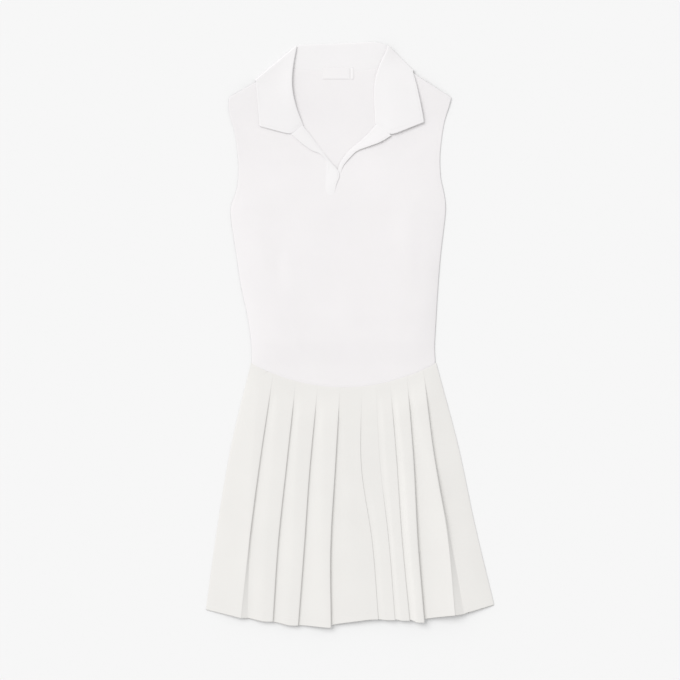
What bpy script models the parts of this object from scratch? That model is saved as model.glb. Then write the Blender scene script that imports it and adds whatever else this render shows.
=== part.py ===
"""Sleeveless tennis dress, laid flat on its back: a knit bodice with an open polo collar, and a knife-pleated skirt.

+X is to the right as the front is seen from above, +Y runs from the hem to the collar, +Z is up from the surface
that the dress lies on. The origin is on that surface, under the middle of the dress. Tables are in millimetres.
Every piece is a single sheet of cloth, carried from a grid to its laid form and given its wall by Solidify.
"""

import math

import bmesh
import bpy
from mathutils import Vector
from mathutils.geometry import interpolate_bezier

MM = 0.001
CLOTH = 1.0  # wall of every cloth piece
AIR = 0.3  # between two layers, and between two pieces at a seam
PITCH = CLOTH + AIR  # from the middle of one layer to the middle of the next
TURN = PITCH / 2  # radius of a fold, which brings the cloth one layer up

CURVE_STEPS = 16  # between two named points of a curve
WELD = 0.01  # points of two grids nearer than this are the same point
SHARP_ANGLE = 40  # degrees; the cut edges of the cloth stay crisp

KNIT = ((0.90, 0.88, 0.885), 0.9)  # colour and roughness
PLEAT_WEAVE = ((0.86, 0.855, 0.835), 0.85)
COLLAR_RIB = ((0.91, 0.90, 0.905), 0.9)
LABEL_SATIN = ((0.93, 0.93, 0.93), 0.6)


def layer(number):
    """Height of the middle of a layer of cloth: 0 lies on the surface."""
    return CLOTH / 2 + number * PITCH


def eased(value, start, end):
    """0 before start, 1 after end, and a smooth rise between."""
    share = min(max((value - start) / (end - start), 0), 1)
    return share * share * (3 - 2 * share)


def between(table, value, column):
    """A column of a table, read smoothly at a value of the table's first column, whose rows rise or fall."""
    for low, high in zip(table, table[1:]):
        if min(low[0], high[0]) <= value <= max(low[0], high[0]):
            return low[column] + (high[column] - low[column]) * eased(value, low[0], high[0])
    nearest = min(table, key=lambda row: abs(row[0] - value))
    return nearest[column]


def smooth_line(points, steps):
    """Steps + 1 points, evenly spaced along a smooth curve through the given points."""
    knots = [Vector(point) for point in points]
    fine = []
    for i in range(len(knots) - 1):
        start, end = knots[i], knots[i + 1]
        out_of_start = (end - knots[max(i - 1, 0)]) / 6
        into_end = (knots[min(i + 2, len(knots) - 1)] - start) / 6
        fine += interpolate_bezier(start, start + out_of_start, end - into_end, end, CURVE_STEPS + 1)[:-1]
    fine.append(knots[-1])
    lengths = [0.0]
    for a, b in zip(fine, fine[1:]):
        lengths.append(lengths[-1] + (b - a).length)
    line, at = [], 0
    for step in range(steps + 1):
        wanted = lengths[-1] * step / steps
        while at < len(fine) - 2 and lengths[at + 1] < wanted:
            at += 1
        share = (wanted - lengths[at]) / (lengths[at + 1] - lengths[at])
        line.append(fine[at].lerp(fine[at + 1], min(share, 1)))
    return line


def coons(left, right, bottom, top):
    """Points spanned by four border lines that meet at the corners, as rows from bottom to top."""
    rows = []
    for i, (a, b) in enumerate(zip(left, right)):
        up = i / (len(left) - 1)
        row = []
        for j, (low, high) in enumerate(zip(bottom, top)):
            across = j / (len(bottom) - 1)
            corners = bottom[0].lerp(bottom[-1], across).lerp(top[0].lerp(top[-1], across), up)
            row.append(a.lerp(b, across) + low.lerp(high, up) - corners)
        rows.append(row)
    return rows


def cloth_material(name, colour_and_roughness):
    colour, roughness = colour_and_roughness
    material = bpy.data.materials.new(name)
    material.use_nodes = True
    shader = material.node_tree.nodes["Principled BSDF"]
    shader.inputs["Base Color"].default_value = (*colour, 1)
    shader.inputs["Roughness"].default_value = roughness
    shader.inputs["Metallic"].default_value = 0
    return material


def cloth(name, grids, material, parent):
    """One piece of cloth. Each grid is rows of points in millimetres, and grids that share a line are joined there."""
    mesh = bmesh.new()
    for rows in grids:
        made = bmesh.ops.create_grid(mesh, x_segments=len(rows[0]) - 1, y_segments=len(rows) - 1, size=0.5)
        for vertex in made["verts"]:
            column = round((vertex.co.x + 0.5) * (len(rows[0]) - 1))
            row = round((vertex.co.y + 0.5) * (len(rows) - 1))
            vertex.co = Vector(rows[row][column]) * MM
    bmesh.ops.remove_doubles(mesh, verts=mesh.verts, dist=WELD * MM)
    data = bpy.data.meshes.new(name)
    mesh.to_mesh(data)
    mesh.free()
    data.materials.append(material)
    data.shade_smooth()
    data.set_sharp_from_angle(angle=math.radians(SHARP_ANGLE))
    piece = bpy.data.objects.new(name, data)
    bpy.context.scene.collection.objects.link(piece)
    piece.parent = parent
    wall = piece.modifiers.new("wall", "SOLIDIFY")
    wall.thickness = CLOTH * MM
    wall.offset = 0
    wall.use_even_offset = True
    wall.use_quality_normals = True
    return piece


# The bodice's outline, which its front and back share

CENTRE_X = -14.0  # the front's centre line; the skirt swings out to the right of it
BODICE_EDGE = (  # height, left edge, right edge: up the side seam, round the armhole, to the shoulder tip
    (-44, -152.7, 132.5),
    (-20, -152.5, 131.2),
    (25, -158.5, 133.5),
    (75, -169.0, 136.6),
    (128, -177.0, 141.0),
    (178, -184.5, 147.0),
    (200, -184.5, 148.5),
    (220, -177.5, 146.0),
    (243, -173.5, 141.0),
    (277, -174.0, 139.5),
    (314, -179.0, 143.3),
    (335, -185.0, 147.5),
    (352, -188.3, 153.0),
    (368, -187.5, 157.3),
)
LEFT, RIGHT = 1, 2  # columns of the bodice's outline
WAIST_MID_X = -10.1
WAIST_HALF = 142.6
WAIST_SIDE_Y = -44.0
WAIST_CENTRE_Y = -81.0
WAIST_AIR = 0.4  # between the bodice and the skirt at the waist seam
V_BOTTOM = (CENTRE_X, 248.8)
BODICE_ROWS = 30
BODICE_COLUMNS = 10  # in each half


def seam_y(x):
    """Height of the waist seam, which dips from the sides to the centre."""
    across = (x - WAIST_MID_X) / WAIST_HALF
    return WAIST_CENTRE_Y + (WAIST_SIDE_Y - WAIST_CENTRE_Y) * across * across


# How high the layers lie. Round the neck the collar's fall is underneath, and lifts both panels by one layer.

FALL_RAMP = (322.0, 384.0)  # the panels climb onto the fall between these heights
LOFT = (  # height, how far the front rises off the back at the centre line
    (-81, 3.6),
    (-20, 2.9),
    (90, 3.4),
    (200, 3.2),
    (249, 2.2),
    (320, 0.9),
    (368, 0.0),
)


def back_z(y):
    return layer(0) + PITCH * eased(y, *FALL_RAMP)


def loft(x, y):
    """The soft rise of the front off the back: none at the side seams and shoulders."""
    side = LEFT if x < CENTRE_X else RIGHT
    half = between(BODICE_EDGE, y, side) - CENTRE_X
    out = min(abs((x - CENTRE_X) / half), 1)
    return between(LOFT, y, 1) * (1 - out**4)


def front_z(x, y):
    return back_z(y) + PITCH + loft(x, y)


# The collar: one strip, sewn to the neck at its inner edge, rolled over, and falling to its outer edge.
# It starts at the left point, turns round the left shoulder, runs behind the neck, and ends at the right point.

FRONT, BACK, SHOULDER = "front", "back", "shoulder"
COLLAR = (  # where, neck seam, roll line, outer edge, rise of the roll, rise of the outer edge
    (FRONT, (-76.7, 320.9), (-72.0, 324.7), (-140.3, 323.2), 0.4, 0.3),
    (FRONT, (-88.4, 340.2), (-80.6, 344.9), (-141.8, 341.0), 0.5, 0.2),
    (FRONT, (-96.0, 361.9), (-86.8, 365.0), (-143.4, 360.0), 0.6, 0.0),
    (FRONT, (-99.2, 382.0), (-89.9, 385.2), (-144.5, 376.0), 0.5, 0.0),
    (FRONT, (-100.8, 400.7), (-89.4, 407.0), (-145.5, 386.0), 0.2, 0.0),
    (FRONT, (-101.8, 411.5), (-86.0, 428.6), (-145.7, 391.0), 0.0, 0.0),
    (SHOULDER, (-102.3, 417.0), (-82.2, 446.4), (-145.7, 393.7), 0.0, 0.0),
    (BACK, (-96.0, 415.3), (-77.0, 449.0), (-139.0, 391.5), 0.0, 0.0),
    (BACK, (-84.0, 412.6), (-66.0, 449.8), (-116.0, 393.0), 0.0, 0.0),
    (BACK, (-68.0, 410.5), (-54.0, 450.2), (-90.0, 395.0), 0.0, 0.0),
    (BACK, (-51.0, 409.0), (-41.0, 450.6), (-64.0, 397.5), 0.0, 0.0),
    (BACK, (-32.5, 408.4), (-27.5, 451.0), (-39.0, 399.0), 0.0, 0.0),
    (BACK, (-14.0, 408.4), (-14.0, 451.6), (-14.0, 399.5), 0.0, 0.0),
    (BACK, (4.7, 408.7), (0.0, 452.0), (9.3, 399.5), 0.0, 0.0),
    (BACK, (23.2, 410.4), (14.0, 452.6), (34.0, 400.5), 0.0, 0.0),
    (BACK, (40.3, 413.4), (28.0, 453.8), (57.0, 402.5), 0.0, 0.0),
    (BACK, (55.8, 417.1), (41.8, 453.5), (76.0, 404.5), 0.0, 0.0),
    (BACK, (66.6, 420.5), (52.7, 450.2), (91.5, 406.5), 0.0, 0.0),
    (SHOULDER, (74.4, 421.6), (58.1, 446.4), (97.3, 408.1), 0.0, 0.0),
    (FRONT, (73.8, 413.0), (54.2, 434.8), (98.5, 403.5), 0.6, 0.3),
    (FRONT, (72.5, 402.0), (46.5, 420.8), (100.8, 396.0), 1.4, 0.8),
    (FRONT, (69.8, 385.2), (39.5, 400.7), (104.0, 383.6), 2.2, 1.4),
    (FRONT, (65.0, 366.6), (36.4, 376.0), (107.7, 366.6), 2.6, 2.0),
    (FRONT, (57.4, 343.3), (38.0, 351.0), (111.6, 348.0), 2.6, 2.6),
    (FRONT, (45.0, 321.6), (39.5, 326.3), (114.7, 329.4), 2.2, 3.0),
)
NOTCHES = {0: (-91.5, 310.0), len(COLLAR) - 1: (62.8, 308.5)}  # where each front end meets its placket
LEAF_MIDDLE = 0.35  # of the way from the roll to the outer edge
SHOULDER_TURNS = (0, 45, 90, 135, 180)  # degrees turned from the front, over the shoulder, to the back
NECK_Z = (layer(1) + layer(2)) / 2  # between the two panels at the neck
NECK_AIR = 0.5  # from the collar's seam to the panels' neck edges, which keep clear of its curve


def collar_section(row, notch, turned):
    """Points across the collar: neck seam, up to the roll, round it, and down to the outer edge."""
    _, seam, roll, edge, roll_rise, edge_rise = row
    seam, roll, edge = (Vector((*point, 0)) for point in (seam, roll, edge))
    middle = Vector((*notch, 0)) if notch else roll.lerp(edge, LEAF_MIDDLE)
    to_roll = (roll - seam).normalized()
    outward = (roll - edge).normalized().cross(Vector((0, 0, 1)))
    if outward.y < 0:
        outward = -outward
    up = Vector((0, 0, math.cos(turned))) + outward * math.sin(turned)
    in_front = max(math.cos(turned), 0)
    points = (
        (seam, TURN, 0),
        (roll - to_roll * TURN, TURN, roll_rise),
        (roll, TURN + TURN, roll_rise),
        (roll + (middle - roll).normalized() * TURN, TURN + PITCH, roll_rise),
        (middle, TURN + PITCH, (roll_rise + edge_rise) / 2),
        (middle.lerp(edge, 0.5), TURN + PITCH, edge_rise),
        (edge, TURN + PITCH, edge_rise),
    )
    section = []
    for point, out, rise in points:
        panel = (front_z(point.x, point.y) - layer(2)) * in_front
        section.append(point + up * out + Vector((0, 0, NECK_Z + panel + rise)))
    return section


def collar_rows():
    rows = []
    for i, row in enumerate(COLLAR):
        turns = {FRONT: (0,), BACK: (180,), SHOULDER: SHOULDER_TURNS}[row[0]]
        if i > len(COLLAR) / 2:
            turns = turns[::-1]
        rows += [collar_section(row, NOTCHES.get(i), math.radians(turn)) for turn in turns]
    return rows


# The neck edges of the two panels, kept clear of the collar's seam


def neck_edge(first, last):
    """The panels' neck edge beside the collar's rows first to last."""
    line = []
    for _, seam, roll, *_ in COLLAR[first : last + 1]:
        seam, roll = Vector(seam), Vector(roll)
        line.append(seam - (roll - seam).normalized() * NECK_AIR)
    return line


LEFT_SHOULDER, RIGHT_SHOULDER = (i for i, row in enumerate(COLLAR) if row[0] == SHOULDER)
CENTRE_BACK = (LEFT_SHOULDER + RIGHT_SHOULDER) // 2
LEFT_V = ((-22.5, 259.3), (-31.0, 269.8), (-38.8, 280.2), (-46.5, 290.6), (-61.5, 306.5))
RIGHT_V = ((-15.8, 266.0), (-6.5, 280.0), (2.5, 289.5), (15.0, 300.0), (28.0, 312.0))


def waist_line(start_x, end_x):
    """The bodice's lower edge from one x to another."""
    line = []
    for i in range(BODICE_COLUMNS + 1):
        x = start_x + (end_x - start_x) * i / BODICE_COLUMNS
        line.append(Vector((x, seam_y(x) + WAIST_AIR / 2)))
    return line


def bodice_half(side, inner, top):
    """One half of a panel, from its side edge to the given inner line, as rows of points seen from above."""
    edge = smooth_line([(row[side], row[0]) for row in BODICE_EDGE], BODICE_ROWS)
    bottom = waist_line(edge[0].x, CENTRE_X)
    edge[0], inner[0] = bottom[0], bottom[-1]
    rows = coons(edge, inner, bottom, top)
    return rows if side == LEFT else [row[::-1] for row in rows]


def raised(rows, height):
    return [[(point.x, point.y, height(point.x, point.y)) for point in row] for row in rows]


def front_half(side, neck, opening):
    """Half of the front: its inner line is the centre line, then the V opening and the neck."""
    above = [Vector(point) for point in opening] + neck
    below = BODICE_ROWS - len(above)
    centre = [Vector((CENTRE_X, WAIST_CENTRE_Y)).lerp(Vector(V_BOTTOM), i / below) for i in range(below + 1)]
    inner = centre + above
    tip = Vector((BODICE_EDGE[-1][side], BODICE_EDGE[-1][0]))
    shoulder = [tip.lerp(neck[-1], i / BODICE_COLUMNS) for i in range(BODICE_COLUMNS + 1)]
    return bodice_half(side, inner, shoulder)


def front_bodice(material, parent):
    left = front_half(LEFT, neck_edge(0, LEFT_SHOULDER), LEFT_V)
    right = front_half(RIGHT, neck_edge(RIGHT_SHOULDER, len(COLLAR) - 1)[::-1], RIGHT_V)
    cloth("front_bodice", [raised(left, front_z), raised(right, front_z)], material, parent)


def back_half(side, neck):
    """Half of the back: its top is the shoulder line and half of the back neck."""
    tip = Vector((BODICE_EDGE[-1][side], BODICE_EDGE[-1][0]))
    on_shoulder = BODICE_COLUMNS + 1 - len(neck)
    shoulder = [tip.lerp(neck[0], i / on_shoulder) for i in range(on_shoulder + 1)]
    top = shoulder + neck[1:]
    low = Vector((CENTRE_X, WAIST_CENTRE_Y))
    inner = [low.lerp(top[-1], i / BODICE_ROWS) for i in range(BODICE_ROWS + 1)]
    return bodice_half(side, inner, top)


def back_bodice(material, parent):
    left = back_half(LEFT, neck_edge(LEFT_SHOULDER, CENTRE_BACK))
    right = back_half(RIGHT, neck_edge(CENTRE_BACK, RIGHT_SHOULDER)[::-1])
    grids = [raised(rows, lambda x, y: back_z(y)) for rows in (left, right)]
    cloth("back_bodice", grids, material, parent)


# The placket bands that turn out beside the V. The left one laps over the right one below the V.

PLACKET_OVER = (  # inner edge, outer edge, rise: from the collar's notch down
    ((-72.3, 324.1), (-91.2, 309.3), 0.4),
    ((-59.0, 307.5), (-79.5, 302.2), 0.4),
    ((-46.5, 290.6), (-65.0, 294.0), 0.4),
    ((-31.0, 269.8), (-46.5, 282.0), 0.4),
    ((-15.9, 249.6), (-33.0, 266.0), 0.6),
    ((-21.0, 232.5), (-34.0, 240.0), 0.6),
    ((-23.9, 216.2), (-34.5, 217.5), 0.2),
)
PLACKET_UNDER = (
    ((39.9, 325.6), (62.4, 307.8), 2.2),
    ((28.0, 312.0), (49.0, 299.4), 2.2),
    ((15.0, 300.0), (30.5, 292.2), 2.2),
    ((2.5, 289.5), (10.9, 284.8), 1.8),
    ((-6.5, 280.0), (-0.4, 274.0), 1.4),
    ((-15.8, 266.0), (-10.4, 261.6), 1.0),
    ((-17.6, 259.0), (-13.4, 255.8), 0.6),
)
PLACKET_COLUMNS = 3


def placket(name, table, material, parent):
    """A band between two edges, lying one layer above the front."""
    rows = []
    for inner, outer, rise in table[::-1]:
        ends = sorted((Vector(inner), Vector(outer)), key=lambda point: point.x)
        row = []
        for i in range(PLACKET_COLUMNS + 1):
            point = ends[0].lerp(ends[1], i / PLACKET_COLUMNS)
            row.append((point.x, point.y, front_z(point.x, point.y) + PITCH + rise))
        rows.append(row)
    cloth(name, [rows], material, parent)


LABEL_CORNERS = ((-43.4, 396.2), (6.2, 414.6))  # lower left and upper right, over the back neck seam


def neck_label(material, parent):
    """The woven label inside the back neck, left bare."""
    (left, low), (right, high) = LABEL_CORNERS
    rows = [[(x, y, layer(2)) for x in (left, (left + right) / 2, right)] for y in (low, high)]
    cloth("neck_label", [rows], material, parent)


# The skirt: two pleated panels. Each knife pleat turns back under itself at a crest and forward again at a
# valley, so a pleat is three layers deep; a pleat whose depth falls below nothing at the hem has sprung open.

SKIRT_ROWS = 10
SKIRT_SIDES = (  # share of the way from seam to hem, left side, right side
    (0.0, -153.5, 133.5),
    (0.33, -184.0, 172.0),
    (0.67, -206.0, 199.0),
    (1.0, -223.4, 223.4),
)
SIDE_HEMS = (-426.0, -418.5)  # height of the hem at the left and right side
FRONT_PLEATS = (  # crest at the seam, a third down, two thirds down, at the hem; hem before and after the crest;
    # depth at the seam and at the hem
    (-119.0, -138.0, -156.5, -167.0, -439.4, -440.2, 20, -6),
    (-84.0, -97.7, -110.8, -118.0, -445.3, -445.9, 21, 13),
    (-50.0, -62.0, -70.5, -79.0, -451.8, -451.0, 21, 12),
    (-15.5, -23.0, -28.7, -28.0, -454.5, -448.7, 21, 5),
    (18.6, 16.3, 34.6, 43.9, -440.7, -440.3, 20, 12),
    (40.0, 46.5, 60.5, 69.4, -441.7, -440.6, 12, 12),
    (62.0, 72.9, 81.4, 92.2, -442.6, -441.2, 12, 11),
    (88.0, 99.2, 107.0, 115.8, -444.9, -439.4, 15, 10),
    (115.5, 133.8, 155.5, 161.0, -433.6, -431.5, 16, -12),
)
BACK_PLEATS = 9
BACK_DEPTHS = (15, 15)  # at the seam and at the hem
BACK_HEM_DROP = 16.0  # how far the back hem's middle hangs below its ends
SIDE_SLOPE = (  # share of the height and distance in, where a panel comes down to the side seam
    (0.0, 0.0),
    (0.2, 3.5),
    (0.75, 8.0),
    (1.0, 13.0),
)
COVER = 1.0  # a pleat's upper layer lies flat for this far before its fold
EMERGE = 2.0  # the layer under a pleat lies flat for this far after the fold
HEM_RISE = 1.2  # how far the front lifts at its hem


def side_x(down, column):
    return smooth_value(down, [row[0] for row in SKIRT_SIDES], [row[column] for row in SKIRT_SIDES])


def smooth_value(share, shares, values):
    """A value read at a share of the way, on a smooth curve through the given values."""
    for i in range(len(shares) - 1):
        if share <= shares[i + 1] or i == len(shares) - 2:
            before, after = values[max(i - 1, 0)], values[min(i + 2, len(values) - 1)]
            start, end = values[i], values[i + 1]
            t = (share - shares[i]) / (shares[i + 1] - shares[i])
            into, out = (end - before) / 2, (after - start) / 2
            return (
                start * (1 + 2 * t) * (1 - t) ** 2
                + into * t * (1 - t) ** 2
                + end * (3 - 2 * t) * t**2
                - out * (1 - t) * t**2
            )


def front_pleat(row, down):
    """(crest, depth, hem before, hem after) of a front pleat at a share of the way down."""
    crest = smooth_value(down, [0, 0.33, 0.67, 1], row[:4])
    return crest, row[6] + (row[7] - row[6]) * down, row[4], row[5]


def back_hem(x):
    share = (x - SKIRT_SIDES[-1][1]) / (SKIRT_SIDES[-1][2] - SKIRT_SIDES[-1][1])
    line = SIDE_HEMS[0] + (SIDE_HEMS[1] - SIDE_HEMS[0]) * share
    return line - BACK_HEM_DROP * 4 * share * (1 - share)


def back_pleat(number, down):
    """The same for a back pleat. They are even, and face the other way, as the pleats run round the body."""
    share = number / (BACK_PLEATS + 1)
    left, right = side_x(down, 1), side_x(down, 2)
    hem_x = SKIRT_SIDES[-1][1] + (SKIRT_SIDES[-1][2] - SKIRT_SIDES[-1][1]) * share
    depth = BACK_DEPTHS[0] + (BACK_DEPTHS[1] - BACK_DEPTHS[0]) * down
    return left + (right - left) * share, depth, back_hem(hem_x), back_hem(hem_x)


def pleated_section(pleats, ends, heights, facing):
    """(x, z, hem height) across a panel at one height, in the direction that the crests face.

    pleats are (crest, depth, hem before, hem after); ends are (x, z, hem) at the two sides;
    heights are those of the layer that shows, of the turned-back layer, and of the layer under both.
    """
    shown, turned, under = heights
    lift = math.copysign(TURN, shown - under)
    (start_x, start_z, start_hem), (end_x, end_z, end_hem) = ends
    section = [(start_x + facing * run, start_z + (under - start_z) * up, start_hem) for up, run in SIDE_SLOPE]
    for crest, depth, hem_before, hem_after in pleats:
        valley = crest - facing * depth
        fold = min(max(depth / (2 * TURN), -1), 1)
        tilt = lift * (1 - fold) / 2
        hem_inside = (hem_before + hem_after) / 2
        emerges = facing * (max(facing * crest, facing * valley) + EMERGE)
        covers = facing * (min(facing * crest, facing * valley) - COVER)
        section += [
            (covers, shown, None),
            (crest - facing * TURN, shown, hem_before),
            (crest, shown - lift, hem_before),
            (crest - facing * TURN * fold, turned + tilt, hem_before),
            (valley + facing * TURN * fold, turned - tilt, hem_inside),
            (valley, under + lift, hem_inside),
            (valley + facing * TURN, under, hem_inside),
            (emerges, under, hem_after),
        ]
    section += [(end_x - facing * run, end_z + (under - end_z) * up, end_hem) for up, run in SIDE_SLOPE[::-1]]
    return section


def hems_between(section):
    """Fills each hem height that was left open, on the straight line between its neighbours."""
    filled = []
    for i, (x, z, hem) in enumerate(section):
        if hem is None:
            (x0, _, hem0), (x1, _, hem1) = section[i - 1], section[i + 1]
            hem = hem0 + (hem1 - hem0) * (x - x0) / (x1 - x0)
        filled.append((x, z, hem))
    return filled


def skirt_rows(pleats_at, end_z, heights, facing, rise):
    rows = []
    for i in range(SKIRT_ROWS + 1):
        down = i / SKIRT_ROWS
        ends = [(side_x(down, 1), end_z, SIDE_HEMS[0]), (side_x(down, 2), end_z, SIDE_HEMS[1])]
        section = hems_between(pleated_section(pleats_at(down), ends[::facing], heights, facing))
        tops = hems_between(pleated_section(pleats_at(0), seam_ends(end_z)[::facing], heights, facing))
        row = []
        for (x, z, hem), (top_x, _, _) in zip(section, tops):
            top = seam_y(top_x) - WAIST_AIR / 2
            row.append((x, top + (hem - top) * down, z + rise * down * down * (z > layer(2))))
        rows.append(row[::facing])
    return rows[::-1]


def seam_ends(end_z):
    _, left, right = SKIRT_SIDES[0]
    return [(left, end_z, SIDE_HEMS[0]), (right, end_z, SIDE_HEMS[1])]


def front_skirt(material, parent):
    heights = (layer(5), layer(4), layer(3))
    rows = skirt_rows(lambda down: [front_pleat(row, down) for row in FRONT_PLEATS], layer(1), heights, 1, HEM_RISE)
    cloth("front_skirt", [rows], material, parent)


def back_skirt(material, parent):
    heights = (layer(0), layer(1), layer(2))
    numbers = range(BACK_PLEATS, 0, -1)
    rows = skirt_rows(lambda down: [back_pleat(n, down) for n in numbers], layer(0), heights, -1, 0)
    cloth("back_skirt", [rows], material, parent)


def main():
    for thing in list(bpy.data.objects):
        bpy.data.objects.remove(thing)
    dress = bpy.data.objects.new("dress", None)
    bpy.context.scene.collection.objects.link(dress)
    knit = cloth_material("bodice_knit", KNIT)
    weave = cloth_material("pleat_weave", PLEAT_WEAVE)
    rib = cloth_material("collar_rib", COLLAR_RIB)
    satin = cloth_material("label_satin", LABEL_SATIN)
    back_bodice(knit, dress)
    front_bodice(knit.copy(), dress)
    back_skirt(weave, dress)
    front_skirt(weave.copy(), dress)
    cloth("collar", [collar_rows()], rib, dress)
    placket("placket_over", PLACKET_OVER, rib.copy(), dress)
    placket("placket_under", PLACKET_UNDER, rib.copy(), dress)
    neck_label(satin, dress)


main()
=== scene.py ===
"""A sleeveless tennis dress laid flat and seen from straight above: its cloth, seams and stitching.

+X is to the right as the front is seen, +Y runs from the hem to the collar, +Z is up. Sizes are in
millimetres. Only the floor's own size, the light's place and the length of a texture band are in metres.
"""

import math

import bmesh
import bpy
import numpy as np
from mathutils import Matrix, Vector, noise
from mathutils.geometry import interpolate_bezier


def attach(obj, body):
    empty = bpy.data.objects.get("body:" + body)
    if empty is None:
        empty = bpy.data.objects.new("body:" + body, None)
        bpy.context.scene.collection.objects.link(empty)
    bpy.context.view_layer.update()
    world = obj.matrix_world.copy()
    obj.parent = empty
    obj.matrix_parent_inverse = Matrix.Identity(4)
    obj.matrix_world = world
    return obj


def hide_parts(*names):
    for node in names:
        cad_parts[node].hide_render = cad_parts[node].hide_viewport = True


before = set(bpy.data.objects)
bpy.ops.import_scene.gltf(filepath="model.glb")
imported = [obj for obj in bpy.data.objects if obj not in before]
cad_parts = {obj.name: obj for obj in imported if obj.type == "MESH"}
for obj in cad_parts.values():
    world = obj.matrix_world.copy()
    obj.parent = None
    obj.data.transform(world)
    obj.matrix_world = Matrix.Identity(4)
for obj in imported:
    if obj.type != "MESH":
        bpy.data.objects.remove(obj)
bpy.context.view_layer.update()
MM = 0.001

# The camera looks straight down from two and a half metres, as over a table top. One pixel of the 680 is
# 1.55 mm, and the middle of the picture lies a little to the left of the dress's own middle.

PICTURE_PIXELS = 680
PIXEL = 1.55
PICTURE_MIDDLE = (-15.5, -7.7)
LENS = 85.0
SENSOR = 36.0

camera_data = bpy.data.cameras.new("camera_above")
camera_data.lens = LENS
camera_data.sensor_width = SENSOR
camera = bpy.data.objects.new("camera_above", camera_data)
camera_height = PICTURE_PIXELS * PIXEL * LENS / SENSOR
camera.location = (PICTURE_MIDDLE[0] * MM, PICTURE_MIDDLE[1] * MM, camera_height * MM)
bpy.context.scene.collection.objects.link(camera)
bpy.context.scene.camera = camera

# The floor is a plain pale sheet, and the light a broad one high on the upper left in a bright white room,
# so that each fold throws a short soft shadow to its lower right.

FLOOR_SIZE = 6.0
FLOOR_COLOUR = (0.80, 0.80, 0.80)
FLOOR_DROP = 0.05
FLOOR_ROUGHNESS = 0.95
FLOOR_SHINE = 0.1
KEY_FROM = (-1.0, 0.9, 1.35)
KEY_POWER = 1.6
KEY_SOFTNESS = math.radians(42)
ROOM_STRENGTH = 0.80

floor_mesh = bmesh.new()
bmesh.ops.create_grid(floor_mesh, x_segments=1, y_segments=1, size=FLOOR_SIZE / 2)
bmesh.ops.translate(floor_mesh, verts=floor_mesh.verts, vec=(0, 0, -FLOOR_DROP * MM))
floor_data = bpy.data.meshes.new("floor")
floor_mesh.to_mesh(floor_data)
floor_mesh.free()
floor = bpy.data.objects.new("floor", floor_data)
bpy.context.scene.collection.objects.link(floor)
floor_paint = bpy.data.materials.new("floor_paper")
floor_paint.use_nodes = True
floor_shader = floor_paint.node_tree.nodes["Principled BSDF"]
floor_shader.inputs["Base Color"].default_value = (*FLOOR_COLOUR, 1)
floor_shader.inputs["Roughness"].default_value = FLOOR_ROUGHNESS
floor_shader.inputs["Specular IOR Level"].default_value = FLOOR_SHINE
floor_data.materials.append(floor_paint)

key_data = bpy.data.lights.new("key_light", "SUN")
key_data.angle = KEY_SOFTNESS
key_data.energy = KEY_POWER
key = bpy.data.objects.new("key_light", key_data)
key.location = KEY_FROM
key.rotation_euler = Vector(KEY_FROM).to_track_quat("Z", "Y").to_euler()
bpy.context.scene.collection.objects.link(key)

room = bpy.data.worlds.new("white_room")
room.use_nodes = True
room.node_tree.nodes["Background"].inputs["Color"].default_value = (1, 1, 1, 1)
room.node_tree.nodes["Background"].inputs["Strength"].default_value = ROOM_STRENGTH
bpy.context.scene.world = room
bpy.context.scene.view_settings.view_transform = "Standard"

# The bodice is a fine, matt sports knit, nearly white with a breath of pink. Its back is cut in one piece
# from the dropped waist seam to the shoulders and back neck, and lies face down on the floor.

KNIT_THICKNESS = 0.6
PITCH = 1.3  # from the middle of one layer of cloth to that of the next
FLOOR_LAYER = 0.34  # height of the middle of a layer that lies on the floor
CENTRE_X = -14.0
WAIST_MID_X = -10.1
WAIST_HALF = 142.6
WAIST_SIDE_Y = -44.0
WAIST_CENTRE_Y = -81.0
WAIST_LAP = 0.9  # the bodice's lower edge is tucked under the skirt's
BODICE_ROWS = 84
BODICE_COLUMNS = 30
BODICE_EDGE = (  # height, left edge, right edge: up the side seam, round the armhole, to the shoulder's tip
    (-44, -152.7, 132.5),
    (-20, -152.5, 131.2),
    (25, -158.5, 133.5),
    (75, -169.0, 136.6),
    (128, -177.0, 141.0),
    (178, -184.5, 147.0),
    (200, -184.5, 148.5),
    (220, -177.5, 146.0),
    (243, -173.5, 141.0),
    (277, -174.0, 139.5),
    (314, -179.0, 143.3),
    (335, -185.0, 147.5),
    (352, -188.3, 153.0),
    (368, -187.5, 157.3),
)
LEFT, RIGHT = 1, 2  # where a row of a table holds its left and its right side
BACK_NECK_LEFT = (
    (-102.7, 416.2),
    (-96.3, 415.4),
    (-84.4, 413.0),
    (-68.2, 411.1),
    (-51.1, 409.6),
    (-32.6, 409.1),
)
BACK_NECK_RIGHT = ((4.8, 409.5), (23.4, 411.2), (40.6, 414.1), (56.1, 417.7), (67.0, 420.8), (74.8, 420.9))
BACK_NECK_MIDDLE = (-14.0, 409.1)
COLLAR_RAMP = (322.0, 384.0)  # between these heights the back comes up by one layer
BACK_FOLDS = (  # from, to, half width, height
    ((-120, -60), (-60, 120), 9, 0.45),
    ((90, -40), (40, 90), 11, 0.5),
    ((-150, 150), (-70, 210), 8, 0.4),
    ((120, 170), (60, 240), 9, 0.45),
    ((-20, 230), (10, 330), 12, 0.35),
)
FOLD_BEND = 0.06  # of a fold's length, how far it bends aside
FOLD_START = 0.75  # share of its half width that a fold has at its first end
FOLD_GROWTH = 0.5  # and what it gains by its last
FOLD_FADE = 0.42  # of its length, from the middle to where it fades
CURVE_STEPS = 17  # to each stretch of a curve between two given points
GRID_HALF = 0.5  # a grid is one unit wide before its points go to their places
MERGE_DISTANCE = 0.002
KNIT_COLOURS = ((0.770, 0.752, 0.757), (0.784, 0.766, 0.771))
KNIT_LOOP = 0.9
KNIT_RELIEF = 0.12
KNIT_FUZZ = 0.12
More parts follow.
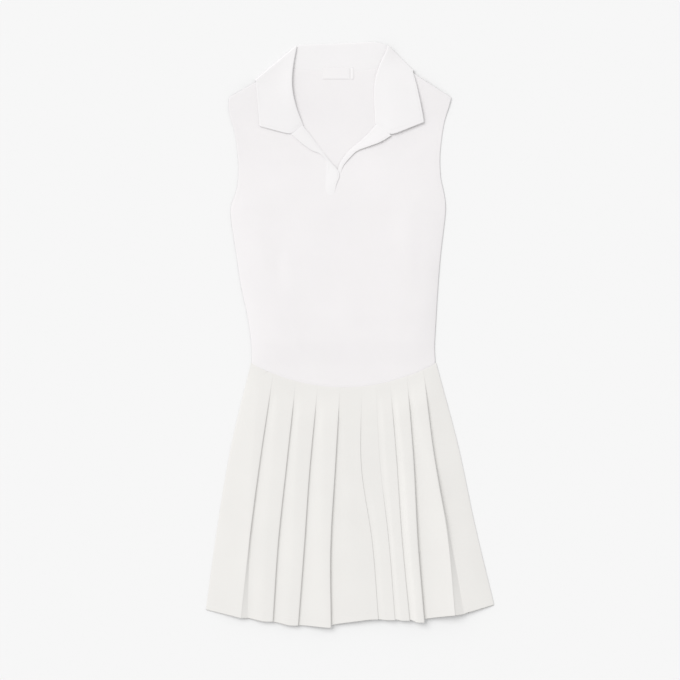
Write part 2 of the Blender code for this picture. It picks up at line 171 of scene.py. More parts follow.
CLOTH_ROUGHNESS = 0.88
CLOTH_SHINE = 0.25
FUZZ_ROUGHNESS = 0.5
FUZZ_SCALE = 900.0
FUZZ_DETAIL = 3.0
BAND_LENGTH = 0.314  # metres from band to band of a wave texture whose scale is 1
YARN_WANDER = 1.2
YARN_DETAIL = 1.0
RELIEF_STRENGTH = 0.5
TONE_SCALE = 14.0
TONE_DETAIL = 4.0
TONE_RANGE = (0.3, 0.7)


def eased(value, start, end):
    """0 before start, 1 after end, and a smooth rise between."""
    share = np.clip((np.asarray(value, float) - start) / (end - start), 0, 1)
    return share * share * (3 - 2 * share)


def curve_at(shares, values, at):
    """Values read at shares of the way along a smooth curve through the given ones."""
    slopes = np.gradient(np.asarray(values, float), np.asarray(shares, float), axis=0)
    i = int(np.clip(np.searchsorted(shares, at) - 1, 0, len(shares) - 2))
    span = shares[i + 1] - shares[i]
    t = min(max((at - shares[i]) / span, 0), 1)
    start, end = np.asarray(values[i], float), np.asarray(values[i + 1], float)
    leaving = (1 + 2 * t) * (1 - t) ** 2 * start + t * (1 - t) ** 2 * span * slopes[i]
    return leaving + (3 - 2 * t) * t**2 * end - (1 - t) * t**2 * span * slopes[i + 1]


def smooth_line(points, steps):
    """Steps + 1 points, evenly spaced along a smooth curve through the given points."""
    knots = [Vector(point) for point in points]
    fine = []
    for i in range(len(knots) - 1):
        start, end = knots[i], knots[i + 1]
        reach = (end - start).length / 3
        before = (end - knots[max(i - 1, 0)]).normalized() * reach
        after = (knots[min(i + 2, len(knots) - 1)] - start).normalized() * reach
        fine += interpolate_bezier(start, start + before, end - after, end, CURVE_STEPS)[:-1]
    fine.append(knots[-1])
    fine = np.array(fine)
    lengths = np.concatenate([[0], np.cumsum(np.linalg.norm(np.diff(fine, axis=0), axis=1))])
    wanted = np.linspace(0, lengths[-1], steps + 1)
    return np.stack([np.interp(wanted, lengths, fine[:, axis]) for axis in range(fine.shape[1])], axis=1)


def spanned(left, right, bottom, top):
    """Points spanned by four border lines that meet at the corners, as rows from bottom to top."""
    up = np.linspace(0, 1, len(left))[:, None, None]
    across = np.linspace(0, 1, len(bottom))[None, :, None]
    sides = left[:, None] * (1 - across) + right[:, None] * across
    ends = bottom[None] * (1 - up) + top[None] * up
    corners = (bottom[0] * (1 - across) + bottom[-1] * across) * (1 - up)
    corners = corners + (top[0] * (1 - across) + top[-1] * across) * up
    return sides + ends - corners


def seam_y(x):
    """Height of the waist seam, which dips from the sides to the centre."""
    return WAIST_CENTRE_Y + (WAIST_SIDE_Y - WAIST_CENTRE_Y) * ((x - WAIST_MID_X) / WAIST_HALF) ** 2


def shoulder_tip(side):
    """The outer end of the shoulder seam."""
    return np.array((BODICE_EDGE[-1][side], BODICE_EDGE[-1][0]), float)


def bodice_half(side, inner, top):
    """One half of a panel, from its side edge to the given inner line, seen from above."""
    edge = smooth_line([(row[side], row[0]) for row in BODICE_EDGE], BODICE_ROWS)
    bottom_x = np.linspace(edge[0, 0], CENTRE_X, BODICE_COLUMNS + 1)
    bottom = np.stack([bottom_x, seam_y(bottom_x) - WAIST_LAP], axis=1)
    edge[0] = bottom[0]
    inner[0] = bottom[-1]
    points = spanned(edge, inner, bottom, top)
    return points if side == LEFT else points[:, ::-1]


def fold_height(x, y, folds):
    """The height that soft folds and troughs add: each is a rounded ridge that fades out at both ends."""
    total = np.zeros_like(x)
    for (x0, y0), (x1, y1), half_width, height in folds:
        length = math.hypot(x1 - x0, y1 - y0)
        along = ((x - x0) * (x1 - x0) + (y - y0) * (y1 - y0)) / length**2
        aside = ((x - x0) * (y1 - y0) - (y - y0) * (x1 - x0)) / length
        bend = FOLD_BEND * length * np.sin(along * math.pi)
        spread = half_width * (FOLD_START + FOLD_GROWTH * along)
        fade = np.exp(-(((along - 0.5) / FOLD_FADE) ** 4))
        total = total + height * fade * np.exp(-(((aside - bend) / spread) ** 2))
    return total


def ripple(x, y, size, seed):
    """Slow random unevenness of the cloth, between about -1 and 1."""
    flat = [noise.noise(Vector((a / size, b / size, seed))) for a, b in zip(x.ravel(), y.ravel())]
    return np.array(flat).reshape(x.shape)


def back_z(x, y):
    """Height of the back, the same at every x, which comes up from the floor to meet the collar's seam."""
    return FLOOR_LAYER + PITCH * eased(y, *COLLAR_RAMP)


def cloth(name, grids, material, node, thickness, smoothing=1):
    """A piece of cloth that stands for a CAD node. Each grid is rows of points in millimetres.

    Its map holds lengths along the cloth, and runs on from one grid to the next.
    """
    mesh = bmesh.new()
    lengths = mesh.loops.layers.uv.new("cloth_lengths")
    reach = 0
    for points in grids:
        rows, columns = points.shape[:2]
        steps = np.linalg.norm(np.diff(points[rows // 2], axis=0), axis=1)
        across = reach + np.concatenate([[0], np.cumsum(steps)])
        reach = across[-1]
        steps = np.linalg.norm(np.diff(points[:, columns // 2], axis=0), axis=1)
        up = np.concatenate([[0], np.cumsum(steps)])
        made = bmesh.ops.create_grid(mesh, x_segments=columns - 1, y_segments=rows - 1, size=GRID_HALF)
        place = {}
        for vertex in made["verts"]:
            column = round((vertex.co.x + GRID_HALF) * (columns - 1))
            row = round((vertex.co.y + GRID_HALF) * (rows - 1))
            place[vertex] = (across[column] * MM, up[row] * MM)
            vertex.co = Vector(points[row, column]) * MM
        for face in {face for vertex in made["verts"] for face in vertex.link_faces}:
            for loop in face.loops:
                loop[lengths].uv = place[loop.vert]
    bmesh.ops.remove_doubles(mesh, verts=mesh.verts, dist=MERGE_DISTANCE * MM)
    data = bpy.data.meshes.new(name)
    mesh.to_mesh(data)
    mesh.free()
    data.materials.append(material)
    data.shade_smooth()
    piece = bpy.data.objects.new(name, data)
    bpy.context.scene.collection.objects.link(piece)
    wall = piece.modifiers.new("wall", "SOLIDIFY")
    wall.thickness = thickness * MM
    wall.offset = 0
    soft = piece.modifiers.new("soft", "SUBSURF")
    soft.levels = smoothing
    soft.render_levels = smoothing
    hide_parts(node)
    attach(piece, "root")
    return piece


def cloth_material(name, colours, yarn_size, relief, sheen):
    """Matt cloth on the piece's own lengths: fine yarns both ways, uneven in tone, with a little fuzz."""
    material = bpy.data.materials.new(name)
    material.use_nodes = True
    nodes, links = material.node_tree.nodes, material.node_tree.links
    shader = nodes["Principled BSDF"]
    shader.inputs["Roughness"].default_value = CLOTH_ROUGHNESS
    shader.inputs["Specular IOR Level"].default_value = CLOTH_SHINE
    shader.inputs["Sheen Weight"].default_value = sheen
    shader.inputs["Sheen Roughness"].default_value = FUZZ_ROUGHNESS
    lengths = nodes.new("ShaderNodeUVMap")
    lengths.uv_map = "cloth_lengths"
    yarns = []
    for direction in ("X", "Y"):
        yarn = nodes.new("ShaderNodeTexWave")
        yarn.wave_type = "BANDS"
        yarn.bands_direction = direction
        yarn.inputs["Scale"].default_value = BAND_LENGTH / (yarn_size * MM)
        yarn.inputs["Distortion"].default_value = YARN_WANDER
        yarn.inputs["Detail"].default_value = YARN_DETAIL
        links.new(lengths.outputs["UV"], yarn.inputs["Vector"])
        yarns.append(yarn)
    crossing = nodes.new("ShaderNodeMath")
    crossing.operation = "MULTIPLY"
    links.new(yarns[0].outputs["Fac"], crossing.inputs[0])
    links.new(yarns[1].outputs["Fac"], crossing.inputs[1])
    fuzz = nodes.new("ShaderNodeTexNoise")
    fuzz.inputs["Scale"].default_value = FUZZ_SCALE
    fuzz.inputs["Detail"].default_value = FUZZ_DETAIL
    links.new(lengths.outputs["UV"], fuzz.inputs["Vector"])
    surface = nodes.new("ShaderNodeMath")
    surface.operation = "ADD"
    links.new(crossing.outputs[0], surface.inputs[0])
    links.new(fuzz.outputs["Fac"], surface.inputs[1])
    bump = nodes.new("ShaderNodeBump")
    bump.inputs["Strength"].default_value = RELIEF_STRENGTH
    bump.inputs["Distance"].default_value = relief * MM
    links.new(surface.outputs[0], bump.inputs["Height"])
    links.new(bump.outputs["Normal"], shader.inputs["Normal"])
    tone = nodes.new("ShaderNodeTexNoise")
    tone.inputs["Scale"].default_value = TONE_SCALE
    tone.inputs["Detail"].default_value = TONE_DETAIL
    links.new(lengths.outputs["UV"], tone.inputs["Vector"])
    shades = nodes.new("ShaderNodeValToRGB")
    for element, position, colour in zip(shades.color_ramp.elements, TONE_RANGE, colours):
        element.position = position
        element.color = (*colour, 1)
    links.new(tone.outputs["Fac"], shades.inputs["Fac"])
    links.new(shades.outputs["Color"], shader.inputs["Base Color"])
    return material


knit = cloth_material("sports_knit", KNIT_COLOURS, KNIT_LOOP, KNIT_RELIEF, KNIT_FUZZ)

shoulder_columns = BODICE_COLUMNS // 2
back_halves = []
for side, neck in ((LEFT, BACK_NECK_LEFT), (RIGHT, BACK_NECK_RIGHT[::-1])):
    shoulder = np.linspace(shoulder_tip(side), neck[0], shoulder_columns + 1)
    round_neck = smooth_line([*neck, BACK_NECK_MIDDLE], BODICE_COLUMNS - shoulder_columns)
    top = np.concatenate([shoulder, round_neck[1:]])
    centre = np.linspace((CENTRE_X, seam_y(CENTRE_X) - WAIST_LAP), BACK_NECK_MIDDLE, BODICE_ROWS + 1)
    half = bodice_half(side, centre, top)
    x, y = half[..., 0], half[..., 1]
    z = back_z(x, y) + fold_height(x, y, BACK_FOLDS)
    back_halves.append(np.dstack([x, y, z]))
back_bodice = cloth("back_bodice_cloth", back_halves, knit, "back_bodice", KNIT_THICKNESS)

# The front is cut from the same knit and open in a V at the neck. It lies on the back, rises softly off it
# between the side seams, and keeps a few slack folds from being laid down by hand.

V_BOTTOM = (CENTRE_X, 248.8)
LEFT_V = ((-33.6, 268.0), (-49.1, 288.8), (-64.1, 304.7))
RIGHT_V = ((-14.6, 263.0), (-3.9, 278.0), (5.0, 287.2), (17.4, 297.6), (30.4, 309.6))
FRONT_NECK_LEFT = (
    (-77.0, 320.6),
    (-88.8, 339.9),
    (-96.5, 361.8),
    (-99.8, 381.9),
    (-101.4, 400.3),
    (-102.4, 411.1),
)
FRONT_NECK_RIGHT = (
    (45.5, 321.4),
    (57.9, 343.1),
    (65.6, 366.4),
    (70.4, 385.0),
    (73.1, 401.7),
    (74.3, 412.4),
)
SHOULDER_NECK = {LEFT: (-102.8, 416.4), RIGHT: (74.9, 421.0)}
SIDE_SEAM = 0.62  # at its edges the front lies straight on the back
LOFT = (  # height, how far the front rises off the back at the centre line
    (-81, 0.9),
    (-66, 1.3),
    (-46, 2.1),
    (-10, 4.9),
    (30, 5.5),
    (90, 5.0),
    (200, 3.0),
    (235, 1.5),
    (262, 0.2),
    (285, -0.3),
    (330, -0.3),
    (368, 0.0),
)
FRONT_FOLDS = (
    ((-108, 140), (-102, 66), 9, -0.6),
    ((-90, 150), (-86, 40), 12, 0.45),
    ((-142, 190), (-118, 60), 11, 0.35),
    ((-60, 205), (-52, 90), 16, 0.25),
    ((-20, 200), (-16, 40), 14, -0.2),
    ((20, 215), (14, 70), 16, 0.3),
    ((62, 230), (78, 110), 12, -0.35),
    ((96, 225), (102, 60), 12, 0.4),
    ((118, 190), (114, 40), 9, -0.35),
    ((-120, 40), (-95, -45), 14, 0.3),
    ((-60, 30), (-66, -60), 12, -0.25),
    ((10, 20), (18, -66), 13, 0.25),
    ((70, 30), (60, -58), 12, -0.25),
    ((105, 20), (98, -48), 11, 0.3),
    ((-150, 300), (-112, 262), 10, 0.35),
    ((122, 300), (92, 262), 11, 0.4),
    ((40, 300), (66, 195), 32, 0.9),
    ((-92, 300), (-84, 205), 34, 0.9),
)
LOFT_POWER = 7  # how squarely the loft falls at the side seams
SLACK_POWER = 6
SLACK_TOP = (255.0, 330.0)  # the folds die out between these heights, and between the next two
SLACK_BOTTOM = (-78.0, -40.0)
FRONT_RIPPLE = 0.15
FRONT_RIPPLE_SIZE = 55
FRONT_RIPPLE_SEED = 3.0
V_ROWS = BODICE_ROWS // 3  # rows from the bottom of the V to the shoulder


def half_width_at(x, y):
    """Distance from the centre line to the side edge on this side, by height."""
    heights = [row[0] for row in BODICE_EDGE]
    left = np.interp(y, heights, [CENTRE_X - row[LEFT] for row in BODICE_EDGE])
    right = np.interp(y, heights, [row[RIGHT] - CENTRE_X for row in BODICE_EDGE])
    return np.where(x < CENTRE_X, left, right)


def front_z(x, y):
    """Height of the front: the back under it, its loft, and its folds away from the seams and the neck."""
    out = np.minimum(np.abs(x - CENTRE_X) / half_width_at(x, y), 1)
    puff = np.interp(y, [row[0] for row in LOFT], [row[1] for row in LOFT]) + PITCH - SIDE_SEAM
    inside = (1 - out**SLACK_POWER) * (1 - eased(y, *SLACK_TOP)) * eased(y, *SLACK_BOTTOM)
    uneven = FRONT_RIPPLE * ripple(x, y, FRONT_RIPPLE_SIZE, FRONT_RIPPLE_SEED)
    slack = (fold_height(x, y, FRONT_FOLDS) + uneven) * inside
    return back_z(x, y) + SIDE_SEAM + puff * (1 - out**LOFT_POWER) + slack


front_halves = []
for side, neck, opening in ((LEFT, FRONT_NECK_LEFT, LEFT_V), (RIGHT, FRONT_NECK_RIGHT, RIGHT_V)):
    centre = np.linspace((CENTRE_X, seam_y(CENTRE_X) - WAIST_LAP), V_BOTTOM, BODICE_ROWS - V_ROWS + 1)
    round_v = smooth_line([V_BOTTOM, *opening, *neck, SHOULDER_NECK[side]], V_ROWS)
    inner = np.concatenate([centre, round_v[1:]])
    shoulder = np.linspace(shoulder_tip(side), SHOULDER_NECK[side], BODICE_COLUMNS + 1)
    half = bodice_half(side, inner, shoulder)
    x, y = half[..., 0], half[..., 1]
    front_halves.append(np.dstack([x, y, front_z(x, y)]))
front_bodice = cloth(
    "front_bodice_cloth", front_halves, knit, "front_bodice", KNIT_THICKNESS
)

# The skirt is a crisp warm-white weave, pressed into knife pleats that all face one way round the body. Its
# back panel lies on the floor: nine even pleats, facing the other way seen from above.

SKIRT_ROWS = 48
SKIRT_SIDES = (  # share of the way from seam to hem, left side, right side
    (0.0, -153.5, 133.5),
    (0.33, -184.0, 166.6),
    (0.67, -206.0, 193.7),
    (1.0, -223.4, 223.4),
)
SIDE_HEMS = (-426.0, -418.5)
BACK_PLEATS = 9
BACK_DEPTH = 15.0
BACK_GAP = 0.9  # between the layers of a back pleat, which the front presses flat
BACK_HEM_DROP = 16.0
PANEL_SHARES = (0.2, 0.4, 0.6, 0.8, 1.0)
SIDE_SHARES = (0.012, 0.035, 0.08, 0.15, 0.26, 0.4, 0.6, 0.8, 1.0)  # from the side seam inwards
SIDE_CURVE = 0.7  # below 1, the panel rounds over at the side
SEAM_LAP = 0.9  # the skirt's upper edge lies over the bodice's and dips into it: the seam shows no gap
SEAM_DIP = 0.45
COVER = 1.0  # the upper layer lies flat for this far before its fold
EMERGE = 2.0  # the layer under a pleat lies flat for this far after the fold
PRESSED_GAP = 0.1  # between the layers where the seam presses them together
PRESSED_HEIGHT = 0.25  # share of its height that a pressed pleat keeps
PRESS_END = 0.13  # share of the way down where they have opened out
PANEL_RISE = 0.8  # share of its width over which a panel rises from under one pleat to the next crest
LIFT_POWER = 3  # a crest's lift grows with this power of the way across its panel
FOLD_STEPS = 6
FOLD_STEP_ANGLE = 36
OPEN_STEP = 0.32  # of the radius, between the points of a fold that has sprung open
OPEN_TUCK = 0.6  # of the radius, how far the first of them lies inside the valley
OPEN_DROP = 0.2  # layers by which they round over
WEAVE_COLOURS = ((0.724, 0.712, 0.692), (0.739, 0.727, 0.706))
WEAVE_THICKNESS = 0.42
WEAVE_YARN = 0.55
WEAVE_RELIEF = 0.06
WEAVE_FUZZ = 0.08


def side_x(down, side):
    """The skirt's left or right edge, by the share of the way down."""
    shares = [row[0] for row in SKIRT_SIDES]
    return float(curve_at(shares, [row[side] for row in SKIRT_SIDES], down))


def pleated_section(pleats, ends, facing, radius):
    """Rows of (x, layer, share, lift, hem height) across a panel, in the direction that the crests face.

    pleats are (crest, depth, hem before, hem after, lift, height), and ends (x, hem height) at both sides.
    Layer 2 shows, layer 1 is turned back and layer 0 is under both, so the crest's fold goes round from 2 to
    1 and the valley's from 1 to 0. A pleat whose depth is below nothing has sprung open, and has no folds.
    The share falls to nothing at the sides, where the panel comes down to the side seam.
    """
    (start_x, start_hem), (end_x, end_hem) = ends
    section = [(start_x, 0, 0, 0, start_hem)]
    for number, (crest, depth, hem_before, hem_after, lift, height) in enumerate(pleats):
        valley = crest - facing * depth
        closed = min(max(depth / (4 * radius) + 0.5, 0), 1)
        covers = facing * (min(facing * crest, facing * valley) - COVER)
        emerges = facing * (max(facing * crest, facing * valley) + EMERGE)
        last_x, last_hem = section[-1][0], section[-1][4]
        for share in PANEL_SHARES if number else SIDE_SHARES:
            x = last_x + (covers - last_x) * share
            hem = last_hem + (hem_before - last_hem) * share
            lifted = lift * share**LIFT_POWER
            if number:
                section.append((x, 2 * height * float(eased(share, 0, PANEL_RISE)), 1, lifted, hem))
            else:
                section.append((x, 2 * height, share**SIDE_CURVE, lifted, hem))
        for step in range(FOLD_STEPS):
            round_fold = math.radians(FOLD_STEP_ANGLE * step)
            folded_x, folded_layer = math.sin(round_fold) - 1, 1.5 + math.cos(round_fold) / 2
            opened_x, opened_layer = OPEN_STEP * step - 1, 2 - OPEN_DROP * (step / (FOLD_STEPS - 1)) ** 2
            x = crest + facing * radius * (folded_x * closed + opened_x * (1 - closed))
            layer = folded_layer * closed + opened_layer * (1 - closed)
            section.append((x, layer * height, 1, lift * (layer - 1), hem_before))
        for step in range(FOLD_STEPS):
            round_fold = math.radians(FOLD_STEP_ANGLE * step)
            folded_x, folded_layer = 1 - math.sin(round_fold), 0.5 + math.cos(round_fold) / 2
            opened_x = OPEN_STEP * step - OPEN_TUCK
            opened_layer = OPEN_DROP * (1 - step / (FOLD_STEPS - 1)) ** 2
            x = valley + facing * radius * (folded_x * closed + opened_x * (1 - closed))
            layer = folded_layer * closed + opened_layer * (1 - closed)
            section.append((x, layer * height, 1, 0, (hem_before + hem_after) / 2))
        section.append((emerges, 0, 1, 0, hem_after))
    last_x, last_hem = section[-1][0], section[-1][4]
    for share in (*SIDE_SHARES[-2::-1], 0):
        x = end_x + (last_x - end_x) * share
        section.append((x, 0, share**SIDE_CURVE, 0, end_hem + (last_hem - end_hem) * share))
    return np.array(section, float)


def skirt_points(pleats_at, facing, edge_z, seam_z, full_z):
    """The rows of points of a pleated panel, hem first.

    edge_z is its height at the side seams. seam_z(x, layer) is that of a layer in the waist seam, and
    full_z(x, y, layer, down) lower down, where the pleats have opened out.
    """
    rows = []
    for down in np.linspace(0, 1, SKIRT_ROWS + 1):
        opened = float(eased(down, 0, PRESS_END))
        radius = (PRESSED_GAP + (PITCH - PRESSED_GAP) * opened) / 2
        ends = [(side_x(down, LEFT), SIDE_HEMS[0]), (side_x(down, RIGHT), SIDE_HEMS[1])]
        x, layer, share, lift, hem_y = pleated_section(pleats_at(down), ends[::facing], facing, radius).T
        if not rows:
            top_x, top_y = x, seam_y(x) - SEAM_LAP
        y = top_y + (hem_y - top_y) * down
        pressed = seam_z(top_x, layer)
        loose = full_z(x, y, layer, down) + lift
        z = pressed * (1 - opened) + (edge_z + (loose - edge_z) * share) * opened
        if not rows:
            rows.append(np.stack([x, y + 2 * SEAM_LAP, z - facing * SEAM_DIP], axis=1)[::facing])
        rows.append(np.stack([x, y, z], axis=1)[::facing])
    return np.array(rows[::-1])


def back_hem(x):
    """Height of the back's hem, a shallow curve between the two side seams."""
    share = (x - SKIRT_SIDES[-1][LEFT]) / (SKIRT_SIDES[-1][RIGHT] - SKIRT_SIDES[-1][LEFT])
    return SIDE_HEMS[0] + (SIDE_HEMS[1] - SIDE_HEMS[0]) * share - BACK_HEM_DROP * 4 * share * (1 - share)


def back_pleats_at(down):
    """The back's even pleats at this share of the way down, from the right, which is how they face."""
    pleats = []
    for number in range(BACK_PLEATS, 0, -1):
        share = number / (BACK_PLEATS + 1)
        left, right = side_x(down, LEFT), side_x(down, RIGHT)
        hem = back_hem(SKIRT_SIDES[-1][LEFT] * (1 - share) + SKIRT_SIDES[-1][RIGHT] * share)
        pleats.append((left + (right - left) * share, BACK_DEPTH, hem, hem, 0.0, 1.0))
    return pleats


weave = cloth_material("pleat_weave", WEAVE_COLOURS, WEAVE_YARN, WEAVE_RELIEF, WEAVE_FUZZ)
back_points = skirt_points(
    back_pleats_at,
    -1,
    FLOOR_LAYER,
    lambda x, layer: FLOOR_LAYER - (KNIT_THICKNESS - WEAVE_THICKNESS) / 2 + (2 - layer) * PRESSED_GAP,
    lambda x, y, layer, down: FLOOR_LAYER + (2 - layer) * BACK_GAP,
)
back_skirt = cloth("back_skirt_cloth", [back_points], weave, "back_skirt", WEAVE_THICKNESS)

# The front panel lies on the back one. Each of its nine pleats has its own width and swing, the first and
# last have sprung open at the hem, and the crests on the right stand up most.

FRONT_PLEATS = (
    # crest at the seam, a third down, two thirds down, at the hem; hem before and after the crest; depth at
    # the seam and at the hem; lift of the crest at the hem; height, and where on the way down it begins
    (-119.0, -138.0, -155.0, -168.5, -438.4, -439.0, 20, -10, 1.8, 0.55, 0.03),
    (-84.0, -97.7, -111.2, -119.5, -444.0, -444.5, 21, 13, 1.0, 0.75, 0.03),
    (-50.0, -62.0, -71.0, -80.3, -450.2, -449.6, 21, 12, 1.2, 0.75, 0.03),
    (-15.5, -23.0, -30.2, -29.4, -453.2, -448.7, 21, 5, 1.7, 0.85, 0.04),
    (18.6, 17.0, 34.3, 43.9, -440.7, -440.3, 20, 12, 0.1, 0.35, 0.08),
    (40.0, 46.5, 60.1, 69.6, -441.7, -440.6, 12, 12, 0.15, 0.3, 0.42),
    (62.0, 72.0, 80.7, 92.4, -442.6, -441.2, 12, 11, 0.35, 0.42, 0.02),
    (88.0, 98.0, 104.8, 115.0, -444.9, -439.4, 15, 10, 2.6, 0.85, 0.02),
    (113.5, 129.0, 150.5, 162.5, -433.6, -431.0, 17, -14, 4.0, 0.95, 0.01),
)
PLEAT_OPENING = 0.14  # share of the way down in which a pleat comes up to its height
PLEAT_SHARES = (0.0, 0.33, 0.67, 1.0)
FRONT_BASE = FLOOR_LAYER + 3 * PITCH  # height of the front's lowest layer, over the back's pleats
HEM_RISES = (-0.7, 1.7)  # from that height the hem sinks on the left and rises on the right
HEM_RISE_FROM = (-95.0, 25.0)
LIFT_RATE = 1.6  # a crest has its whole lift before the hem
SEAM_FLUSH = 0.03
SKIRT_RIPPLE = 0.2
SKIRT_RIPPLE_SIZE = 45
SKIRT_RIPPLE_SEED = 8.0
LOWEST_SLACK = -0.1
FRONT_SKIRT_FOLDS = (
    ((-190, -300), (-170, -420), 12, 0.5),
    ((-60, -140), (-56, -240), 14, 0.4),
    ((6, -200), (14, -400), 12, 0.6),
    ((140, -180), (150, -330), 10, 0.5),
    ((184, -280), (206, -415), 9, 0.6),
)


def front_pleats_at(down):
    """The front's pleats at this share of the way down, from the left."""
    pleats = []
    for *crests, hem_before, hem_after, seam_depth, hem_depth, hem_lift, full_height, start in FRONT_PLEATS:
        crest = float(curve_at(PLEAT_SHARES, crests, down))
        depth = seam_depth + (hem_depth - seam_depth) * down
        lift = hem_lift * min(LIFT_RATE * down, 1)
        risen = float(eased(down, start, start + PLEAT_OPENING))
        height = full_height * (PRESSED_HEIGHT + (1 - PRESSED_HEIGHT) * risen)
        pleats.append((crest, depth, hem_before, hem_after, lift, height))
    return pleats


def front_seam_z(x, layer):
    """Height of a layer of the front skirt in the waist seam, with its surface flush with the bodice's."""
    flush = (KNIT_THICKNESS - WEAVE_THICKNESS) / 2 + SEAM_FLUSH
    return front_z(x, seam_y(x)) + flush + layer * PRESSED_GAP


def front_full_z(x, y, layer, down):
    """Height of a layer of the front skirt below the waist, with its folds and the rise of its hem."""
    uneven = SKIRT_RIPPLE * ripple(x, y, SKIRT_RIPPLE_SIZE, SKIRT_RIPPLE_SEED)
    slack = fold_height(x, y, FRONT_SKIRT_FOLDS) + uneven
    rise = HEM_RISES[0] + (HEM_RISES[1] - HEM_RISES[0]) * eased(x, *HEM_RISE_FROM)
    return FRONT_BASE + layer * PITCH + rise * down * down + np.maximum(slack, LOWEST_SLACK)


front_points = skirt_points(front_pleats_at, 1, FLOOR_LAYER + WEAVE_THICKNESS, front_seam_z, front_full_z)
front_skirt = cloth(
    "front_skirt_cloth", [front_points], weave, "front_skirt", WEAVE_THICKNESS
)

# The collar is one strip of the same knit, doubled and pressed. It is sewn round the neck at its inner edge,
# rolls over, and falls outside: flat behind the neck, and as two pointed leaves on the front, the right one
# standing up.

FRONT, BACK, SHOULDER = "front", "back", "shoulder"
COLLAR = (  # where, neck seam, roll line, outer edge, rise of the roll, rise of the outer edge
    (FRONT, (-76.7, 320.9), (-72.0, 324.7), (-140.3, 323.2), -0.3, 0.4),
    (FRONT, (-88.4, 340.2), (-80.6, 344.9), (-141.8, 341.0), 1.2, 0.1),
    (FRONT, (-96.0, 361.9), (-86.8, 365.0), (-143.4, 360.0), 1.9, -0.2),
    (FRONT, (-99.2, 382.0), (-89.9, 385.2), (-144.5, 376.0), 1.9, -0.3),
    (FRONT, (-100.8, 400.7), (-89.4, 407.0), (-145.5, 386.0), 1.4, -0.3),
    (FRONT, (-101.8, 411.5), (-86.0, 428.6), (-145.7, 391.0), 0.6, -0.2),
    (SHOULDER, (-102.3, 417.0), (-82.2, 446.4), (-145.7, 393.7), 0.0, 0.0),
    (BACK, (-96.0, 415.3), (-77.0, 449.0), (-139.0, 391.5), 0.0, 0.0),
    (BACK, (-84.0, 412.6), (-66.0, 449.8), (-116.0, 393.0), 0.0, 0.0),
    (BACK, (-68.0, 410.5), (-54.0, 450.2), (-90.0, 395.0), 0.0, 0.0),
    (BACK, (-51.0, 409.0), (-41.0, 450.6), (-64.0, 397.5), 0.0, 0.0),
    (BACK, (-32.5, 408.4), (-27.5, 451.0), (-39.0, 399.0), 0.0, 0.0),
    (BACK, (-14.0, 408.4), (-14.0, 451.6), (-14.0, 399.5), 0.0, 0.0),
    (BACK, (4.7, 408.7), (0.0, 452.0), (9.3, 399.5), 0.0, 0.0),
    (BACK, (23.2, 410.4), (14.0, 452.6), (34.0, 400.5), 0.0, 0.0),
    (BACK, (40.3, 413.4), (28.0, 453.8), (57.0, 402.5), 0.3, 0.0),
    (BACK, (55.8, 417.1), (41.8, 453.5), (76.0, 404.5), 1.5, 0.0),
    (BACK, (66.6, 420.5), (52.7, 450.2), (91.5, 406.5), 2.6, 0.0),
    (SHOULDER, (74.4, 421.6), (58.1, 446.4), (97.3, 408.1), 2.7, 0.0),
    (FRONT, (73.8, 413.0), (54.2, 434.8), (98.5, 403.5), 2.0, 0.5),
    (FRONT, (72.5, 402.0), (46.5, 420.8), (100.8, 396.0), 0.8, 1.0),
    (FRONT, (69.8, 385.2), (39.5, 400.7), (104.0, 383.6), 0.0, 1.6),
    (FRONT, (65.0, 366.6), (36.4, 376.0), (107.7, 366.6), -0.3, 2.2),
    (FRONT, (57.4, 343.3), (38.0, 351.0), (111.6, 348.0), -0.4, 2.7),
    (FRONT, (45.0, 321.6), (39.5, 326.3), (114.7, 329.4), -0.7, 2.3),
)
NOTCHES = {0: (-91.5, 310.0), len(COLLAR) - 1: (62.8, 308.5)}
LEAF_MIDDLE = 0.35
SHOULDER_TURNS = (0, 30, 60, 90, 120, 150, 180)
TURN = PITCH / 2
NECK_Z = FLOOR_LAYER + 1.5 * PITCH
NECK_LAP = 2.5  # behind the neck the collar's seam edge runs under the back, and comes up gently over it
NECK_DIP = (0.5, 0.12, 0.04)
NECK_ROOM = 1.0
NECK_START = 0.2
STAND_RISE = (0.5, 0.8)  # share of the roll's rise half way up the stand, and just under the roll
STAND_STRAIGHT = 0.6
ROLL_REACH = 4.0  # turns from the roll line to where the cloth is straight again
ROLL_OUT = (1.15, 2.0, 2.85)  # turns out from the stand: before, at and after the roll line
LEAF_START = 0.6
LEAF_RISE = (0.45, 0.85)  # share of the change from the roll's rise to the edge's, there and at the middle
LEAF_SHARES = (0.3, 0.65, 0.95, 1.0)  # from the middle of the leaf to its outer edge
END_LENGTH = 0.12  # of the first and last stretch, which bends down to the placket
END_DIP = 0.3  # both front ends dip into the plackets
END_POINTS = 8  # across the collar, the points that dip in full
END_FADE = 3
COLLAR_CLOTH = 1.0
COLLAR_RELIEF = 0.10
# a shade lighter than the bodice's knit: painted light, for the collar and bands that face the lamp
COLLAR_PAINTED_LIGHT_COLOURS = ((0.778, 0.765, 0.769), (0.792, 0.779, 0.783))


